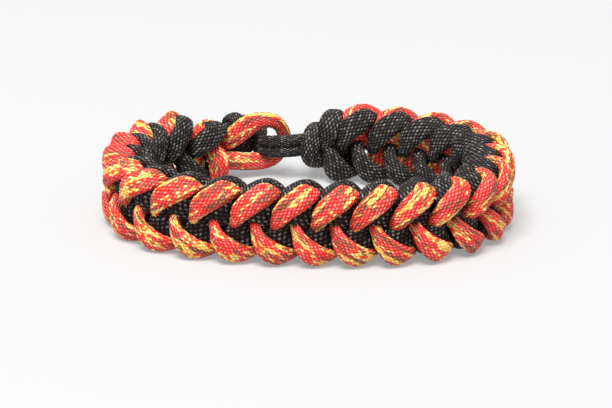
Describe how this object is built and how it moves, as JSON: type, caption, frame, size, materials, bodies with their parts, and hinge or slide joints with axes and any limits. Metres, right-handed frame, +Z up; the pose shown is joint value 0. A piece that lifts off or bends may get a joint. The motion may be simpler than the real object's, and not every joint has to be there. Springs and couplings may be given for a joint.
{
  "type": "braided bracelet",
  "caption": "Braided cord bracelet: a figure-of-eight weave of patterned and black cord in a closed oval, fastened at the back by a loop and a knotted cord end.",
  "frame": {"origin": "middle of the bracelet's outline from above, closure knot included, on the surface that the lower edge rests on", "axes": "+Z up along the wrist's way through, +X across the wide way of the oval, -Y the front of the band, +Y the closure"},
  "size_m": [0.0952, 0.0736, 0.0183],
  "materials": {
    "camo_cord": "braided sheath, red with yellow and dark brown patches",
    "black_cord": "braided sheath, charcoal black"
  },
  "bodies": {
    "root": {"camo_strand_left": "camo_cord", "camo_strand_right": "camo_cord", "black_strand_left": "black_cord", "black_strand_right": "black_cord", "closure_loop": "camo_cord", "end_knot": "black_cord", "lacing_cord_upper": "black_cord", "lacing_cord_lower": "black_cord", "stopper_knot": "black_cord"}
  },
  "joints": []
}
